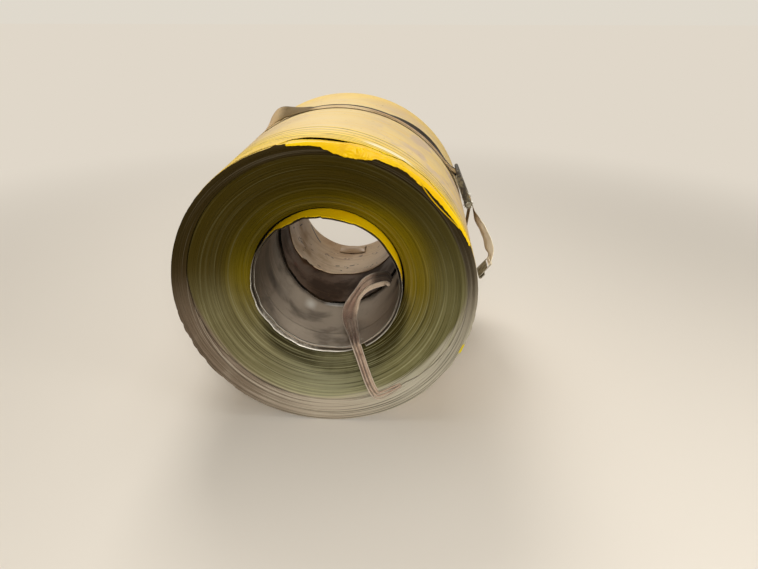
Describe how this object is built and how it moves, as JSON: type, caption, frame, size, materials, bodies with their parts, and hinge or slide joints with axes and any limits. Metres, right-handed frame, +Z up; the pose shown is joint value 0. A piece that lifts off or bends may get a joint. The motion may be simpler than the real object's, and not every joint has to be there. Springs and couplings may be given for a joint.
{
  "type": "steel coil",
  "caption": "Coil of prepainted steel strip lying on its side, with telescoped inner turns, a ratchet tie round it and loose webbing in its bore.",
  "frame": {"origin": "on the bore axis, halfway along the outer turns", "axes": "+Y along the bore to the far, domed end; +X to the side with the ratchet; +Z up"},
  "size_m": [1.4193, 1.361, 1.27],
  "materials": {
    "painted_strip": "yellow prepaint under tan dust outside, galvanised inside the bore, olive and brown strip edges on the ends",
    "tie_webbing": "wide woven polyester webbing, faded and dusty",
    "bore_webbing": "wide woven webbing, grey with dust",
    "plated_steel": "zinc plated and dulled",
    "handle_paint": "black paint with worn edges",
    "grip_sleeve": "black ribbed sleeve",
    "hook_steel": "zinc plated, dusty, with rusty edges"
  },
  "bodies": {
    "root": {"coil": "painted_strip", "ratchet_strap": "tie_webbing", "ratchet_frame": "plated_steel", "frame_bolt": "plated_steel", "ratchet_spool": "plated_steel", "ratchet_wheels": "plated_steel", "ratchet_handle": "handle_paint", "handle_grip": "grip_sleeve", "release_pawl": "plated_steel", "frame_pawl": "plated_steel", "flat_hook": "hook_steel", "bore_strap": "bore_webbing"}
  },
  "joints": []
}
